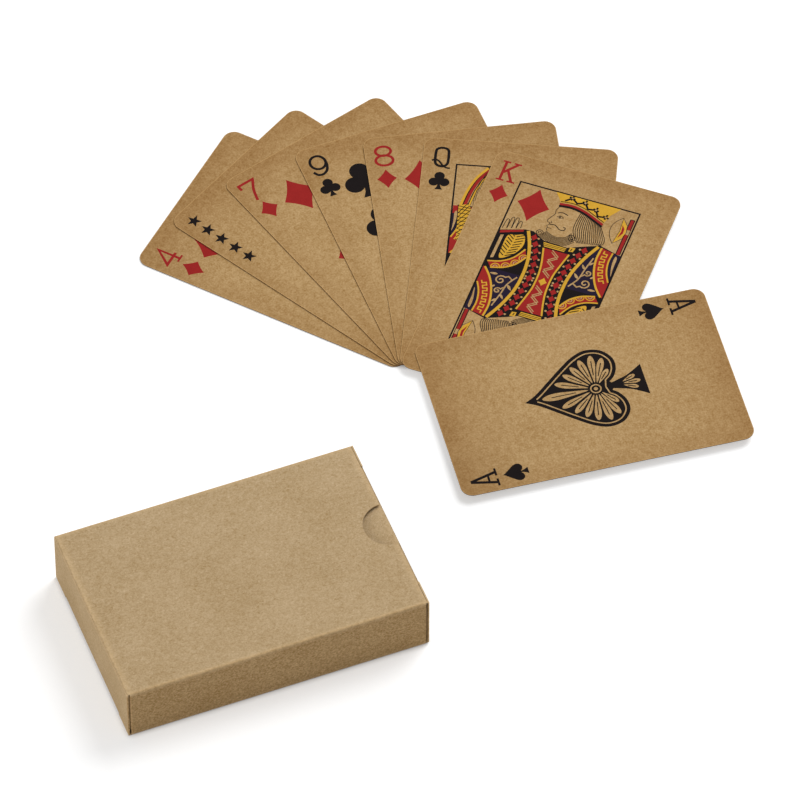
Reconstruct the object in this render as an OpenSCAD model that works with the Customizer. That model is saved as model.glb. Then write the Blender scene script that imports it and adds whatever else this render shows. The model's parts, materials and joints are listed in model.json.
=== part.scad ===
// Deck of playing cards with its kraft tuck box: the closed box, a fan of seven cards, an ace that lies across
// the fan's near corner, and the rest of the pack inside the box.
// Origin at the centre of the box's base, +X towards the end with the thumb notch, +Z up. Millimetres.

/* [Cards] */
// Width of a card
card_w = 58; // [54:0.5:64]
// Length of a card
card_l = 88; // [82:0.5:96]
// Thickness of a card
card_t = 0.3; // [0.24:0.01:0.36]
// Radius of a card's corners
card_r = 3.5; // [2:0.25:6]
// Air between two cards of the pack in the box
pack_gap = 0.01; // [0.01:0.005:0.05]
// Air between two cards of the fan
fan_gap = 0.02; // [0.02:0.005:0.08]

/* [Box] */
// Thickness of the box's board
board_t = 0.45; // [0.35:0.05:0.6]
// Outer radius of a folded edge
fold_r = 0.6; // [0.4:0.05:0.9]
// Room at each long side between the pack and a doubled wall
side_gap = 0.6; // [0.4:0.05:1.5]
// Room at each end between the pack and the dust flaps
end_gap = 0.45; // [0.3:0.05:1.5]
// Free height over the pack beyond what the tuck flap needs
head_room = 0.1; // [0.05:0.05:6]
// Radius of the thumb notch
thumb_r = 7.5; // [5:0.5:12]
// Width of the glue flap
glue_w = 12; // [8:0.5:14]
// Distance of the glue flap from each end of the box
glue_inset = 6; // [4:0.5:15]

/* [Lids and flaps] */
// Length of a tuck flap from its crease
tuck_len = 8.5; // [7:0.25:9]
// Rise of a tuck flap from its crease inwards, in degrees
tuck_slope = 6; // [5:0.25:7]
// Slit between a lid's crease and the panel it tucks behind
tuck_slit = 0.35; // [0.25:0.05:0.5]
// Air between a tuck flap and the pack
tuck_gap = 0.22; // [0.15:0.01:0.8]
// Radius of a tuck flap's free corners
tuck_r = 5.5; // [3:0.5:6]
// Width of a lid's ears beside the crease
ear_w = 8; // [5:0.5:12]
// Length of a dust flap from its crease
dust_len = 18; // [12:0.5:22]
// Air between a lid and the dust flaps behind it
dust_gap = 0.25; // [0.2:0.05:0.6]

/* [Fan and ace] */
// Angle between the fan's first and last card
fan_spread = 82; // [60:1:100]
// Distance of the fan's pivot past the box's right end
fan_dx = 28; // [20:1:60]
// Distance of the fan's pivot behind the box's back
fan_dy = 35; // [30:0.5:80]
// Turn of the ace from the king, in degrees
ace_turn = -55.5; // [-70:0.5:-35]
// Distance of the ace's middle from the king's right edge
ace_side = 4; // [0:0.5:15]
// Distance of the ace's middle from the king's near edge
ace_end = 9; // [4:0.5:20]

/* [Pack left in the box] */
// Spades in the box
spades_n = 12; // [1:1:13]
// Hearts in the box
hearts_n = 13; // [1:1:13]
// Diamonds in the box
diamonds_n = 9; // [1:1:13]
// Clubs in the box
clubs_n = 11; // [1:1:13]
// Jokers in the box
jokers_n = 1; // [1:1:2]

/* [Hidden] */
$fn = 64;

// Colours of the kraft stock
card_color = [0.72, 0.58, 0.39];
board_color = [0.75, 0.62, 0.45];
inner_color = [0.66, 0.53, 0.36];

// One overrun for every cut
cut = 0.05;

// End treatments of a board: cut square, folded tight, or creased to turn
SQUARE = 0;
FOLD = 1;
CREASE = 2;
// Air left at a crease that turns
crease_gap = 0.04;
// Air between a lid's ears and the end of the panel they cover
ear_gap = 0.15;
// Height of the ears above the surface that the box lies on
ear_lift = 0.08;
// Inset of a lid's free edges from the long sides
lid_inset = 0.15;
// Air between a tuck flap's sides and a doubled wall
tuck_side_gap = 0.4;
// Air at the slit that parts a tuck flap's shoulders from the ears
shoulder_gap = 0.25;
// Air between a dust flap's edges and what lies above and below
dust_edge_gap = 0.35;
// Rise of a dust flap's hinge-side edge along its length
dust_hinge_slope_share = 0.42;
// Rise of a dust flap's tuck-side edge along its length
dust_tuck_slope_share = 0.2;
// Cut of the glue flap's slanted ends
glue_slant = 5;

// Heights of the pack and of the room that a tuck flap takes
pack_pitch = card_t + pack_gap;
pack_n = spades_n + hearts_n + diamonds_n + clubs_n + jokers_n;
pack_h = pack_n * pack_pitch - pack_gap;
tuck_room = tuck_slit + board_t + tuck_len * sin(tuck_slope) + tuck_gap;

// Outer sizes of the box
dust_x = board_t + dust_gap;
box_l = card_l + 2 * (dust_x + board_t + end_gap);
box_w = card_w + 2 * (2 * board_t + side_gap);
box_h = 2 * board_t + 2 * tuck_room + pack_h + head_room;
pack_z = board_t + tuck_room;

// Lids, measured from the box's end face inwards and from the tuck side up
panel_inset = board_t + ear_gap;
lid_w = box_w - 2 * lid_inset;
crease_z = board_t + tuck_slit;
crease_w = lid_w - 2 * ear_w;
tuck_w = box_w - 2 * (2 * board_t + tuck_side_gap);
dust_low = pack_z + dust_edge_gap;
dust_high = box_h - board_t - dust_edge_gap;

// Places of the fan's cards, as shares of the spread from the first card
fan_shares = [0, 0.14, 0.31, 0.5, 0.67, 0.82, 1];
fan_pivot = [box_l / 2 + fan_dx, box_w / 2 + fan_dy];
fan_pitch = card_t + fan_gap;
fan_top = len(fan_shares) * fan_pitch;

// Outline of a card, centred
module card_shape() {
    square([card_w, card_l - 2 * card_r], center = true);
    square([card_w - 2 * card_r, card_l], center = true);
    for (x = [-1, 1], y = [-1, 1])
        translate([x * (card_w / 2 - card_r), y * (card_l / 2 - card_r)]) circle(card_r);
}

module card() {
    color(card_color) linear_extrude(card_t) card_shape();
}

// A card of the fan, turned about its lower left corner
module fan_card(i) {
    translate([fan_pivot.x, fan_pivot.y, i * fan_pitch])
        rotate([0, 0, fan_spread * (0.5 - fan_shares[i])])
            translate([card_w / 2, card_l / 2, 0]) card();
}

// A run of cards in the box, counted from the bottom of the pack
module pack_cards(first, count) {
    for (i = [first : first + count - 1])
        translate([0, 0, pack_z + i * pack_pitch]) rotate([0, 0, 90]) card();
}

// What the round of a folded edge takes off a sharp corner
module fold_corner() {
    difference() {
        translate([-cut, -fold_r]) square(fold_r + cut);
        translate([fold_r, -fold_r]) circle(fold_r);
    }
}

// Section of a board from span[0] to span[1], its outer face on the X axis, its ends treated as asked
module board_section(span, ends) {
    air = [for (e = ends) e == CREASE ? crease_gap : 0];
    run = [for (e = ends) e == SQUARE ? 0 : board_t];
    difference() {
        polygon([
            [span[0] + air[0], 0],
            [span[1] - air[1], 0],
            [span[1] - air[1] - run[1], -board_t],
            [span[0] + air[0] + run[0], -board_t]
        ]);
        if (ends[0] != SQUARE) translate([span[0], 0]) fold_corner();
        if (ends[1] != SQUARE) translate([span[1], 0]) mirror([1, 0]) fold_corner();
    }
}

// Flat board with its outer face up at height zero, its ends treated along X and along Y
module board(x_span, x_ends, y_span, y_ends) {
    color(board_color) intersection() {
        rotate([90, 0, 0]) linear_extrude(2 * box_l, center = true) board_section(x_span, x_ends);
        rotate([90, 0, 90]) linear_extrude(2 * box_l, center = true) board_section(y_span, y_ends);
    }
}

// The two ends of the box are alike, turned half round about the box's middle
module left_end() {
    translate([-box_l / 2, 0, 0]) children();
}

module right_end() {
    translate([box_l / 2, 0, box_h]) rotate([0, 180, 0]) children();
}

// Large panel, creased to a lid at its left end and cut short behind the other lid's ears at its right
module large_panel() {
    board([-box_l / 2, box_l / 2 - panel_inset], [CREASE, SQUARE], [-box_w / 2, box_w / 2], [FOLD, FOLD]);
}

module top_panel() {
    color(board_color) difference() {
        translate([0, 0, box_h]) large_panel();
        translate([box_l / 2 - panel_inset, 0, box_h - board_t - cut]) cylinder(r = thumb_r, h = board_t + 2 * cut);
    }
}

module bottom_panel() {
    rotate([0, 180, 0]) large_panel();
}

module front_panel() {
    reach = box_l / 2 - dust_x;
    translate([0, -box_w / 2, box_h / 2]) rotate([90, 0, 0])
        board([-reach, reach], [CREASE, CREASE], [-box_h / 2, box_h / 2], [FOLD, FOLD]);
}

module back_panel() {
    rotate([0, 0, 180]) front_panel();
}

// Flap with slanted ends, glued flat to the inside of the back panel
module glue_flap() {
    reach = box_l / 2 - glue_inset;
    color(inner_color) translate([0, box_w / 2 - board_t, box_h - board_t]) rotate([90, 0, 0]) linear_extrude(board_t)
        polygon([[-reach, 0], [reach, 0], [reach - glue_slant, -glue_w], [-reach + glue_slant, -glue_w]]);
}

// Lid of one end, with the crease of its tuck flap between two ears
module end_lid() {
    z = crease_z + crease_gap;
    color(board_color) difference() {
        rotate([0, -90, 0])
            board([ear_lift, box_h], [SQUARE, CREASE], [-lid_w / 2, lid_w / 2], [SQUARE, SQUARE]);
        rotate([90, 0, 0]) linear_extrude(crease_w, center = true)
            polygon([[-cut, 0], [-cut, z - cut], [board_t + cut, z + board_t + cut], [board_t + cut, 0]]);
    }
}

// Outline of a tuck flap from its crease inwards, with shoulders beside the crease and round free corners
module tuck_shape() {
    neck_w = crease_w - 2 * crease_gap;
    translate([-board_t, -neck_w / 2]) square([board_t + tuck_len, neck_w]);
    translate([shoulder_gap, -tuck_w / 2]) square([tuck_len - tuck_r - shoulder_gap, tuck_w]);
    translate([shoulder_gap, -tuck_w / 2 + tuck_r]) square([tuck_len - shoulder_gap, tuck_w - 2 * tuck_r]);
    intersection() {
        for (y = [-1, 1]) translate([tuck_len - tuck_r, y * (tuck_w / 2 - tuck_r)]) circle(tuck_r);
        translate([shoulder_gap, -tuck_w / 2]) square([tuck_len, tuck_w]);
    }
}

// The flap turns about the inner corner of its crease, where the fold can close
module end_tuck_flap() {
    color(inner_color) translate([board_t, 0, crease_z + board_t]) rotate([0, -tuck_slope, 0]) intersection() {
        translate([0, 0, -board_t]) linear_extrude(board_t) tuck_shape();
        rotate([90, 0, 0]) linear_extrude(box_w, center = true) polygon([
            [crease_gap, 0],
            [tuck_len, 0],
            [tuck_len, -board_t],
            [crease_gap - board_t, -board_t]
        ]);
    }
}

// Dust flap on the front panel's side, tapered along both edges so that it clears the lid and the tuck flap
module end_dust_flap() {
    root = -box_w / 2;
    tip = root + dust_len;
    color(inner_color) difference() {
        translate([dust_x, 0, 0]) rotate([90, 0, 90]) linear_extrude(board_t) polygon([
            [root, dust_low],
            [tip, dust_low + dust_tuck_slope_share * dust_len],
            [tip, dust_high - dust_hinge_slope_share * dust_len],
            [root, dust_high]
        ]);
        linear_extrude(box_h) translate([dust_x, root]) {
            polygon([[-cut, -cut], [-cut, crease_gap - cut], [board_t + cut, crease_gap + board_t + cut],
                     [board_t + cut, -cut]]);
            mirror([0, 1]) fold_corner();
        }
    }
}

module left_lid() { left_end() end_lid(); }
module left_tuck_flap() { left_end() end_tuck_flap(); }
module left_front_dust_flap() { left_end() end_dust_flap(); }
module left_back_dust_flap() { left_end() mirror([0, 1, 0]) end_dust_flap(); }
module right_lid() { right_end() end_lid(); }
module right_tuck_flap() { right_end() end_tuck_flap(); }
module right_front_dust_flap() { right_end() end_dust_flap(); }
module right_back_dust_flap() { right_end() mirror([0, 1, 0]) end_dust_flap(); }

module four_of_diamonds() { fan_card(0); }
module joker_card() { fan_card(1); }
module seven_of_diamonds() { fan_card(2); }
module nine_of_clubs() { fan_card(3); }
module eight_of_diamonds() { fan_card(4); }
module queen_of_clubs() { fan_card(5); }
module king_of_diamonds() { fan_card(6); }

// The ace lies flat on the king, its middle inside the king's near right corner
module ace_of_spades() {
    translate([fan_pivot.x, fan_pivot.y, fan_top]) rotate([0, 0, -fan_spread / 2])
        translate([card_w - ace_side, ace_end, 0]) rotate([0, 0, ace_turn]) card();
}

module second_joker() { pack_cards(0, jokers_n); }
module clubs_in_box() { pack_cards(jokers_n, clubs_n); }
module diamonds_in_box() { pack_cards(jokers_n + clubs_n, diamonds_n); }
module hearts_in_box() { pack_cards(jokers_n + clubs_n + diamonds_n, hearts_n); }
module spades_in_box() { pack_cards(pack_n - spades_n, spades_n); }

top_panel();
bottom_panel();
front_panel();
back_panel();
glue_flap();
left_lid();
left_tuck_flap();
left_front_dust_flap();
left_back_dust_flap();
right_lid();
right_tuck_flap();
right_front_dust_flap();
right_back_dust_flap();
four_of_diamonds();
joker_card();
seven_of_diamonds();
nine_of_clubs();
eight_of_diamonds();
queen_of_clubs();
king_of_diamonds();
ace_of_spades();
second_joker();
clubs_in_box();
diamonds_in_box();
hearts_in_box();
spades_in_box();
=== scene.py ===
import json
import math

import bmesh
import bpy
from mathutils import Matrix, Vector
from mathutils.geometry import delaunay_2d_cdt


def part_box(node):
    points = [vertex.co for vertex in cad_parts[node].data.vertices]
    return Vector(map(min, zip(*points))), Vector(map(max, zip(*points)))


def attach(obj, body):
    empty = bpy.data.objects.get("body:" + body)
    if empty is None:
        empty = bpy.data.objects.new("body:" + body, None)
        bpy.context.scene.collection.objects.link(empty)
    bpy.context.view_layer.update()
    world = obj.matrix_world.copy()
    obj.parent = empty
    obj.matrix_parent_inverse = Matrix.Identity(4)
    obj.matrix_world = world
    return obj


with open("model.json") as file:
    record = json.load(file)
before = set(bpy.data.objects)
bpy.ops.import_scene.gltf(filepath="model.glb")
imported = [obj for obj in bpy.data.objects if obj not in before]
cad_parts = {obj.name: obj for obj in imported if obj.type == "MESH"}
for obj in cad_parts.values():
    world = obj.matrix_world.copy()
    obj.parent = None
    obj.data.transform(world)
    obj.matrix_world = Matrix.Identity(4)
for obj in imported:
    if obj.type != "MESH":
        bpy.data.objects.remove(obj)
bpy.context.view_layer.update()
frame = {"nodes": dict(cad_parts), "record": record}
nodes = frame["nodes"]
mm = 0.001
print("frame loaded:", len(nodes), "solids")


def addObject(name, data):
    thing = bpy.data.objects.new(name, data)
    bpy.context.scene.collection.objects.link(thing)
    return thing


def addSheet(name, sheet, material):
    # a bmesh becomes an object
    mesh = bpy.data.meshes.new(name)
    sheet.to_mesh(mesh)
    sheet.free()
    mesh.materials.append(material)
    return addObject(name, mesh)


# camera: one view between the fan's angle and the box's, long lens
cameraSet = {
    "target": (0.0698, 0.05505, 0.0),
    "yaw": 21.2,
    "elevation": 51.5,
    "distance": 2.5,
    "pxPerMm": 3.43,
    "imagePx": 800,
    "sensor": 36,
    "clipEnd": 20,
}


def addCamera(spec):
    yaw = math.radians(spec["yaw"])
    tilt = math.radians(spec["elevation"])
    level = math.cos(tilt)
    ahead = Vector((math.sin(yaw) * level, math.cos(yaw) * level, -math.sin(tilt)))
    data = bpy.data.cameras.new("photoCamera")
    data.sensor_width = spec["sensor"]
    data.lens = spec["pxPerMm"] * spec["distance"] / mm * spec["sensor"] / spec["imagePx"]
    data.clip_end = spec["clipEnd"]
    camera = addObject("photoCamera", data)
    camera.location = Vector(spec["target"]) - ahead * spec["distance"]
    camera.rotation_euler = ahead.to_track_quat("-Z", "Y").to_euler()
    bpy.context.scene.camera = camera


addCamera(cameraSet)
print("camera set")


# small node helpers: a socket knows the tree that it belongs to
def newTree(name):
    material = bpy.data.materials.new(name)
    material.use_nodes = True
    tree = material.node_tree
    tree.nodes.clear()
    return material, tree


def addNode(tree, kind, inputs=None, **settings):
    node = tree.nodes.new("ShaderNode" + kind)
    for key, value in settings.items():
        setattr(node, key, value)
    for key, value in (inputs or {}).items():
        if isinstance(value, bpy.types.NodeSocket):
            tree.links.new(value, node.inputs[key])
        else:
            node.inputs[key].default_value = value
    return node


def objectSpace(tree):
    return addNode(tree, "TexCoord").outputs["Object"]


def splitAxes(vector):
    return addNode(vector.id_data, "SeparateXYZ", {0: vector}).outputs


def maths(operation, first, second=0.0, clamp=False):
    tree = (first if isinstance(first, bpy.types.NodeSocket) else second).id_data
    node = addNode(tree, "Math", {0: first, 1: second}, operation=operation, use_clamp=clamp)
    return node.outputs[0]


def plus(first, second):
    return maths("ADD", first, second)


def less(first, second, clamp=False):
    return maths("SUBTRACT", first, second, clamp)


def times(first, second, clamp=False):
    return maths("MULTIPLY", first, second, clamp)


def absolute(value):
    return maths("ABSOLUTE", value)


def ramp(value, low, high, start=0.0, end=1.0):
    node = addNode(
        value.id_data,
        "MapRange",
        {"Value": value, "From Min": low, "From Max": high, "To Min": start, "To Max": end},
        interpolation_type="SMOOTHSTEP",
    )
    return node.outputs["Result"]


def fade(value, high, start=1.0, low=0.0):
    # falls to nothing between low and high
    return ramp(value, low, high, start, 0.0)


def mixColour(factor, first, second, blend="MIX"):
    # inputs 0, 6 and 7 are the factor and the two colours, output 2 is the mixed one
    sockets = {0: factor, 6: first, 7: second}
    node = addNode(factor.id_data, "Mix", sockets, data_type="RGBA", blend_type=blend)
    return node.outputs[2]


def noise(vector, scale, detail, roughness, seed, bend=0.0):
    sockets = {"Vector": vector, "Scale": scale, "Detail": detail, "Roughness": roughness}
    sockets.update({"W": seed, "Distortion": bend})
    return addNode(vector.id_data, "TexNoise", sockets, noise_dimensions="4D").outputs[0]


def shade(colour, gain):
    gains = gain if isinstance(gain, tuple) else (gain,) * 3
    return tuple(min(1.0, channel * part) for channel, part in zip(colour, gains)) + (1.0,)


# kraft finishes: layers are (waves per metre, strength), fibres (waves per metre, stretch, thinness)
cardLook = {
    "base": (0.425, 0.265, 0.112),
    "dark": (0.76, 0.68, 0.51),  # dark fibres are warmer, light ones paler
    "light": (1.24, 1.33, 1.50),
    "cloud": (95, 0.55),
    "mottle": (580, 1.4),
    "grain": (1700, 1.8),
    "fibre": (1150, 0.30, 0.030),
    "roughness": 0.82,
    "hair": 0.10,
    "shine": 0.16,
    "bump": 0.10,
    "seedStep": 13.7,  # each card has a grain of its own
}
boardLook = {
    "base": (0.468, 0.333, 0.182),
    "dark": (0.72, 0.65, 0.48),
    "light": (1.28, 1.35, 1.52),
    "cloud": (60, 0.50),
    "mottle": (560, 0.42),
    "grain": (1800, 1.15),
    "fibre": (800, 0.36, 0.030),
    "roughness": 0.88,
    "hair": 0.20,
    "shine": 0.14,
    "bump": 0.42,
}
kraftSet = {
    "layers": {  # detail, roughness, seed
        "cloud": (3.0, 0.5, 0.0),
        "mottle": (3.0, 0.6, 3.1),
        "grain": (2.0, 0.6, 7.7),
    },
    "hairs": {  # turn, scale and thinness beside the look's own, seed
        "pale": (0.35, 1.0, 1.0, 1.3),
        "dark": (-0.8, 1.1, 0.8, 5.9),
        "cross": (1.75, 0.9, 0.8, 9.2),
    },
    "darkGain": 1.6,
    "relief": {"grain": 0.6, "hair": 0.4, "mottle": 0.8},
    "level": 0.5,  # mean of a noise
}
hairSet = {"tilt": (0.3, 0.2), "noise": (1.5, 0.5), "bend": 1.6}  # noise: detail, roughness
surfaceSet = {"depth": 0.0002, "relief": (0.2, 1.6), "roughSpread": 0.08}


def fibres(vector, look, kind, seed):
    # long hair lines: the middle level of a stretched noise
    scale, stretch, thin = look["fibre"]
    turn, wide, fine, shift = kraftSet["hairs"][kind]
    lay = addNode(
        vector.id_data,
        "Mapping",
        {"Vector": vector, "Rotation": (*hairSet["tilt"], turn), "Scale": (stretch, 1.0, 1.0)},
    )
    level = noise(lay.outputs[0], scale * wide, *hairSet["noise"], seed + shift, hairSet["bend"])
    return fade(absolute(less(level, kraftSet["level"])), thin * fine)


def kraftBody(vector, look, seed):
    # returns the paper's colour and the height of its surface
    layers = {}
    for name, (detail, roughness, shift) in kraftSet["layers"].items():
        layers[name] = noise(vector, look[name][0], detail, roughness, seed + shift)
    hairs = {kind: fibres(vector, look, kind, seed) for kind in kraftSet["hairs"]}
    tone = times(layers["cloud"], look["cloud"][1])
    for name in ("mottle", "grain"):
        tone = plus(tone, times(layers[name], look[name][1]))
    middle = sum(look[name][1] for name in layers) / 2
    tone = less(tone, middle - kraftSet["level"])
    for kind in ("pale", "cross"):
        tone = plus(tone, times(hairs[kind], look["hair"]))
    darkHair = times(hairs["dark"], look["hair"] * kraftSet["darkGain"])
    tone = less(tone, darkHair, clamp=True)
    colour = mixColour(tone, shade(look["base"], look["dark"]), shade(look["base"], look["light"]))
    relief = kraftSet["relief"]
    height = times(layers["grain"], relief["grain"])
    height = plus(height, times(hairs["pale"], relief["hair"]))
    height = plus(height, times(layers["mottle"], relief["mottle"]))
    return colour, height


def closeShader(colour, height, look):
    tree = colour.id_data
    sockets = {"Strength": look["bump"], "Distance": surfaceSet["depth"], "Height": height}
    bump = addNode(tree, "Bump", sockets)
    low, high = surfaceSet["relief"]
    dull = look["roughness"] + surfaceSet["roughSpread"]
    smooth = look["roughness"] - surfaceSet["roughSpread"]
    body = addNode(
        tree,
        "BsdfPrincipled",
        {
            "Base Color": colour,
            "Roughness": ramp(height, low, high, dull, smooth),
            "Specular IOR Level": look["shine"],
            "Normal": bump.outputs[0],
        },
    )
    addNode(tree, "OutputMaterial", {"Surface": body.outputs[0]})


# where each card lies: the fan turns about one corner of every card, the ace lies on the last one
kingTurn = next(joint for joint in frame["record"]["behaviour"]["joints"] if joint["name"] == "king_turn")
fanSet = {
    "pivot": kingTurn["pos_m"][:2],
    "pitch": 0.00032,
    "spread": 82.0,
    "shares": (0.0, 0.14, 0.31, 0.5, 0.67, 0.82, 1.0),
    "width": 58.0,
    "length": 88.0,
    "thick": 0.3,
    "corner": 3.5,
}
cardMiddle = (fanSet["width"] / 2, fanSet["length"] / 2)
fanCards = (
    "four_of_diamonds",
    "joker_card",
    "seven_of_diamonds",
    "nine_of_clubs",
    "eight_of_diamonds",
    "queen_of_clubs",
    "king_of_diamonds",
)
aceSet = {"turn": -55.5, "side": 4.0, "end": 9.0}  # middle of the ace from the king's right and near edges


def fanPlace(index):
    # matrix from a card's own lower left corner to its place in the fan
    turn = fanSet["spread"] * (0.5 - fanSet["shares"][index])
    height = index * fanSet["pitch"] + fanSet["thick"] * mm
    spot = Vector((fanSet["pivot"][0], fanSet["pivot"][1], height))
    return Matrix.Translation(spot) @ Matrix.Rotation(math.radians(turn), 4, "Z")


def acePlace():
    king = len(fanSet["shares"]) - 1
    spot = Vector(((fanSet["width"] - aceSet["side"]) * mm, aceSet["end"] * mm, fanSet["pitch"]))
    turn = math.radians(aceSet["turn"]) + math.pi  # its pip points to the left
    half = Matrix.Translation((-cardMiddle[0] * mm, -cardMiddle[1] * mm, 0))
    return fanPlace(king) @ Matrix.Translation(spot) @ Matrix.Rotation(turn, 4, "Z") @ half


# noises are (waves per metre, detail, roughness, seed), fades (reach, strength, start)
edgeLook = {
    "border": (0.009, 0.5),  # width and strength of the painted shade along all edges
    "ends": (0.026, 0.7),  # and at the two short ones
    "patches": (90, 2.0, 0.5),
    "patchSeed": 2.2,
    "patchRange": (0.3, 0.7, 0.7, 1.0),
    # tint of the painted shade at the edges
    "edgeShadeTint": (0.78, 0.70, 0.60, 1.0),
    # painted highlight along the pressed rim
    "rim": (0.0003, 0.5, 0.00005),
    "rimHighlightGain": 1.5,
    "cutTop": (-0.00004, 1.0, -0.00008),  # painted shade darkens the cut side between its two edges
    "cutFoot": (-0.00029, -0.00027),
    "cutShadeTint": (0.22, 0.18, 0.15, 1.0),
}


def edgeDepth(axes):
    # how far a spot lies inside the card's round-cornered outline
    reach = []
    for axis, half in zip(axes, cardMiddle):
        reach.append(less(absolute(axis), (half - fanSet["corner"]) * mm))
    beyond = [maths("MAXIMUM", value, 0.0) for value in reach]
    squares = [times(value, value) for value in beyond]
    away = maths("SQRT", plus(*squares))
    within = maths("MINIMUM", maths("MAXIMUM", *reach), 0.0)
    return less(fanSet["corner"] * mm, plus(away, within))


def cardMaterial(name, place, seed):
    material, tree = newTree(name)
    middle = place @ Vector((cardMiddle[0] * mm, cardMiddle[1] * mm, 0))
    turned = addNode(
        tree,
        "Mapping",
        {"Vector": objectSpace(tree), "Location": middle, "Rotation": place.to_euler()},
        vector_type="TEXTURE",
    )
    local = turned.outputs[0]
    colour, height = kraftBody(local, cardLook, seed)
    axes = splitAxes(local)
    # painted shade: towards its edges the paper is darker and warmer, most of all at its two ends
    depth = edgeDepth(axes)
    toEnd = less(cardMiddle[1] * mm, absolute(axes[1]))
    patches = noise(local, *edgeLook["patches"], seed + edgeLook["patchSeed"])
    edgeShade = plus(fade(depth, *edgeLook["border"]), fade(toEnd, *edgeLook["ends"]))
    edgeShade = times(edgeShade, ramp(patches, *edgeLook["patchRange"]))
    colour = mixColour(edgeShade, colour, edgeLook["edgeShadeTint"], "MULTIPLY")
    # a painted highlight along its pressed rim, and painted shade on its cut side
    rimHighlight = shade(cardLook["base"], edgeLook["rimHighlightGain"])
    colour = mixColour(fade(depth, *edgeLook["rim"]), colour, rimHighlight)
    # painted shade on the cut side
    cutShade = times(fade(axes[2], *edgeLook["cutTop"]), ramp(axes[2], *edgeLook["cutFoot"]))
    colour = mixColour(cutShade, colour, edgeLook["cutShadeTint"], "MULTIPLY")
    closeShader(colour, height, cardLook)
    return material


packSet = {
    "low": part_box("second_joker")[0][2],
    "pitch": 0.00031,
    "seed": 41.0,
    "spread": 0.5,
    "tint": (0.55, 0.46, 0.38, 1.0),
    # painted shade where two cards of the stack meet
    "seamShade": (0.16, 0.8),
    "seamShadeTint": (0.30, 0.24, 0.18, 1.0),
}


def packMaterial():
    material, tree = newTree("packPaper")
    local = objectSpace(tree)
    colour, height = kraftBody(local, cardLook, packSet["seed"])
    # each card of the stack has its own tone, with a line of painted shade where two meet
    above = less(splitAxes(local)[2], packSet["low"])
    count = maths("DIVIDE", above, packSet["pitch"])
    own = addNode(tree, "TexWhiteNoise", {"W": maths("FLOOR", count)}, noise_dimensions="1D")
    tone = times(own.outputs["Value"], packSet["spread"])
    colour = mixColour(tone, colour, packSet["tint"], "MULTIPLY")
    seamShade = fade(maths("FRACT", count), *packSet["seamShade"])
    colour = mixColour(seamShade, colour, packSet["seamShadeTint"], "MULTIPLY")
    closeShader(colour, height, cardLook)
    return material


boxSet = {
    "length": 0.0912,
    "width": 0.061,
    "height": 0.019067,
    "seed": 23.0,
    "fleck": (1500, 2.0, 0.6, 31.0),  # the long sides are rougher, and warmer and darker as painted shade
    "fleckRange": (0.25, 0.75),
    "darkFleckAndShade": (0.78, 0.67, 0.47, 1.0),
    "paleFleckAndShade": (1.26, 1.17, 1.06, 1.0),
    "longSideShade": (0.0008, 1.0, 0.0003),
    "endFold": 0.0028,
    "sideFold": 0.0018,
    "ragged": (900, 3.0, 0.6, 4.0),
    "raggedRange": (0.3, 0.7, 0.25, 0.8),
    # pale folds: partly wear, partly painted highlight
    "foldWearAndHighlightGain": 1.38,
}


def boardMaterial():
    material, tree = newTree("kraftBoard")
    local = objectSpace(tree)
    colour, height = kraftBody(local, boardLook, boxSet["seed"])
    axes = splitAxes(local)
    toEnd = less(boxSet["length"] / 2, absolute(axes[0]))
    toSide = less(boxSet["width"] / 2, absolute(axes[1]))
    toFace = maths("MINIMUM", axes[2], less(boxSet["height"], axes[2]))
    # rough flecks on the long sides, whose warmer and darker mean is painted shade
    fleck = ramp(noise(local, *boxSet["fleck"]), *boxSet["fleckRange"])
    tint = mixColour(fleck, boxSet["darkFleckAndShade"], boxSet["paleFleckAndShade"])
    colour = mixColour(fade(toSide, *boxSet["longSideShade"]), colour, tint, "MULTIPLY")
    # folds rub paler, and the pale band is also a painted highlight on the fold: near two outer faces of the
    # box at once
    nearEnd = fade(toEnd, boxSet["endFold"])
    nearSide = fade(toSide, boxSet["sideFold"])
    nearFace = fade(toFace, boxSet["sideFold"])
    foldWearAndHighlight = plus(times(nearSide, nearFace), times(nearEnd, nearFace))
    ragged = ramp(noise(local, *boxSet["ragged"]), *boxSet["raggedRange"])
    foldWearAndHighlight = times(foldWearAndHighlight, ragged, clamp=True)
    colour = mixColour(foldWearAndHighlight, colour, shade(boardLook["base"], boxSet["foldWearAndHighlightGain"]))
    closeShader(colour, height, boardLook)
    return material


# print inks: flat matte colour with the paper's grain in it
inkColours = {
    "red_ink": (0.305, 0.021, 0.019),
    "black_ink": (0.013, 0.010, 0.010),
    "yellow_ink": (0.60, 0.335, 0.036),
    "navy_ink": (0.020, 0.014, 0.030),
}
inkLook = {
    "grain": (2600, 3.0, 0.65, 2.0),
    "cloud": (260, 2.0, 0.5, 6.0),
    "grainShare": 0.8,
    "cloudShare": 0.5,
    "offset": 0.15,
    "dark": 0.74,
    "light": 1.26,
    "bump": 0.05,
    "roughness": 0.9,
    "shine": 0.03,
}


def inkMaterial(slot):
    material, tree = newTree(slot.replace("_ink", "Print"))
    local = objectSpace(tree)
    grain = noise(local, *inkLook["grain"])
    cloud = noise(local, *inkLook["cloud"])
    tone = plus(times(grain, inkLook["grainShare"]), times(cloud, inkLook["cloudShare"]))
    tone = less(tone, inkLook["offset"], clamp=True)
    ends = [shade(inkColours[slot], inkLook[key]) for key in ("dark", "light")]
    closeShader(mixColour(tone, *ends), grain, inkLook)
    return material


inks = {slot: inkMaterial(slot) for slot in inkColours}
print("finishes made")


rimSet = {"width": 0.00007, "segments": 2, "angle": 50, "merge": 1e-6}


def dressSolid(node, material):
    node.data.materials.clear()
    node.data.materials.append(material)


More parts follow.
